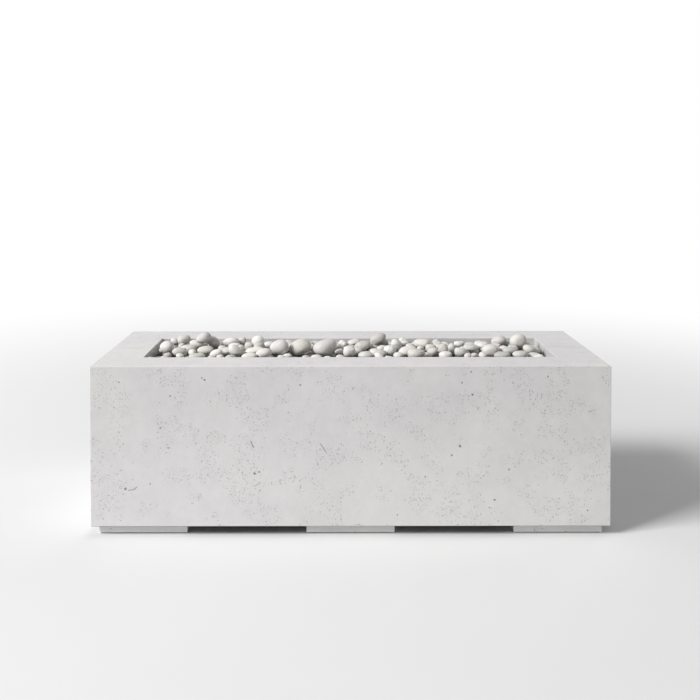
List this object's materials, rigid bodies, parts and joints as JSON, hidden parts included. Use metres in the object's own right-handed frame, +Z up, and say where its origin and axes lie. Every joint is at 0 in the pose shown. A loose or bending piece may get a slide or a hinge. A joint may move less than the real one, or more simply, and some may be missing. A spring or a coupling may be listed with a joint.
{
  "type": "fire pit table",
  "caption": "Long low rectangular gas fire table in pale cast concrete, with a pebble-filled fire opening, recessed feet, a control recess in one end and a service door.",
  "frame": {"origin": "on the floor under the middle of the table", "axes": "+X along the table to the right as seen from the front, +Y from the front to the rear, +Z up"},
  "size_m": [1.524, 0.56, 0.5426],
  "materials": {
    "cast_concrete": "pale cast glass-fibre concrete, smooth matt with pinholes",
    "joint_seal": "grey joint sealant, matt",
    "galvanised_steel": "galvanised, dull",
    "zinc_steel": "zinc plated, satin",
    "stainless_steel": "brushed stainless",
    "fitting_brass": "machined brass",
    "valve_aluminium": "die cast, satin",
    "knob_black": "black heat-resistant plastic, matt",
    "moulded_black": "black moulded plastic",
    "button_red": "red moulded plastic",
    "electrode_ceramic": "white technical ceramic",
    "probe_copper": "copper tube, dull",
    "lead_black": "black silicone sleeve",
    "lever_yellow": "yellow paint on steel",
    "pad_rubber": "black rubber, matt",
    "lava_rock": "dark porous lava rock",
    "river_pebble": "water-worn pebbles, matt"
  },
  "bodies": {
    "root": {"shell_front_half": "cast_concrete", "shell_rear_half": "cast_concrete", "end_joint_seals": "joint_seal", "joint_plates": "galvanised_steel", "joint_plate_inserts": "fitting_brass", "joint_plate_washers": "zinc_steel", "frame_bolts": "zinc_steel", "hex_nuts": "zinc_steel", "panel_screws": "stainless_steel", "plinth_foot_front_left": "cast_concrete", "plinth_foot_front_centre": "cast_concrete", "plinth_foot_front_right": "cast_concrete", "plinth_foot_rear_left": "cast_concrete", "plinth_foot_rear_centre": "cast_concrete", "plinth_foot_rear_right": "cast_concrete", "foot_pads": "pad_rubber", "cross_rails": "galvanised_steel", "pan_ledges_long": "galvanised_steel", "pan_ledges_short": "galvanised_steel", "burner_pan": "stainless_steel", "heat_shield": "galvanised_steel", "shield_standoffs": "zinc_steel", "burner_tube": "stainless_steel", "burner_end_caps": "stainless_steel", "burner_stands": "stainless_steel", "burner_locknut": "fitting_brass", "air_mixer": "fitting_brass", "gas_orifice": "fitting_brass", "flex_connector": "stainless_steel", "flex_nuts": "fitting_brass", "control_box": "stainless_steel", "gas_valve": "valve_aluminium", "igniter_body": "moulded_black", "igniter_nut": "moulded_black", "pilot_bracket": "stainless_steel", "igniter_electrode": "electrode_ceramic", "thermocouple": "probe_copper", "ignition_lead": "lead_black", "inlet_plate": "stainless_steel", "gas_inlet_fitting": "fitting_brass", "shutoff_valve": "fitting_brass", "regulator": "valve_aluminium", "steel_pipes": "zinc_steel", "regulator_bracket": "galvanised_steel", "door_frame": "stainless_steel", "hinge_frame_leaves": "stainless_steel", "hinge_pins": "zinc_steel", "magnetic_catch": "moulded_black", "lava_rock_fill": "lava_rock", "river_pebbles_lower": "river_pebble", "river_pebbles_upper": "river_pebble"},
    "valve_push": {"valve_push_collar": "fitting_brass"},
    "knob": {"control_knob": "knob_black", "valve_stem": "zinc_steel"},
    "igniter_push": {"igniter_button": "button_red"},
    "lever": {"shutoff_lever": "lever_yellow"},
    "door": {"service_door": "stainless_steel", "hinge_door_leaves": "stainless_steel", "door_pull": "stainless_steel", "catch_keeper": "zinc_steel"}
  },
  "joints": [
    {"name": "knob_push", "type": "slide", "parent": "root", "child": "valve_push", "axis": [-1, 0, 0], "range_m": [0, 0.004], "stiffness_N_per_m": 900},
    {"name": "knob_turn", "type": "hinge", "parent": "valve_push", "child": "knob", "pos_m": [0.7305, 0.123, 0.33], "axis": [1, 0, 0], "range_deg": [0, 180]},
    {"name": "igniter_press", "type": "slide", "parent": "root", "child": "igniter_push", "axis": [-1, 0, 0], "range_m": [0, 0.005], "stiffness_N_per_m": 500},
    {"name": "shutoff_turn", "type": "hinge", "parent": "root", "child": "lever", "pos_m": [0.69, 0.201, 0.144], "axis": [0, 0, 1], "range_deg": [0, 90]},
    {"name": "door_swing", "type": "hinge", "parent": "root", "child": "door", "pos_m": [0.3075, 0.276, 0.205], "axis": [0, 0, 1], "range_deg": [0, 110]}
  ]
}
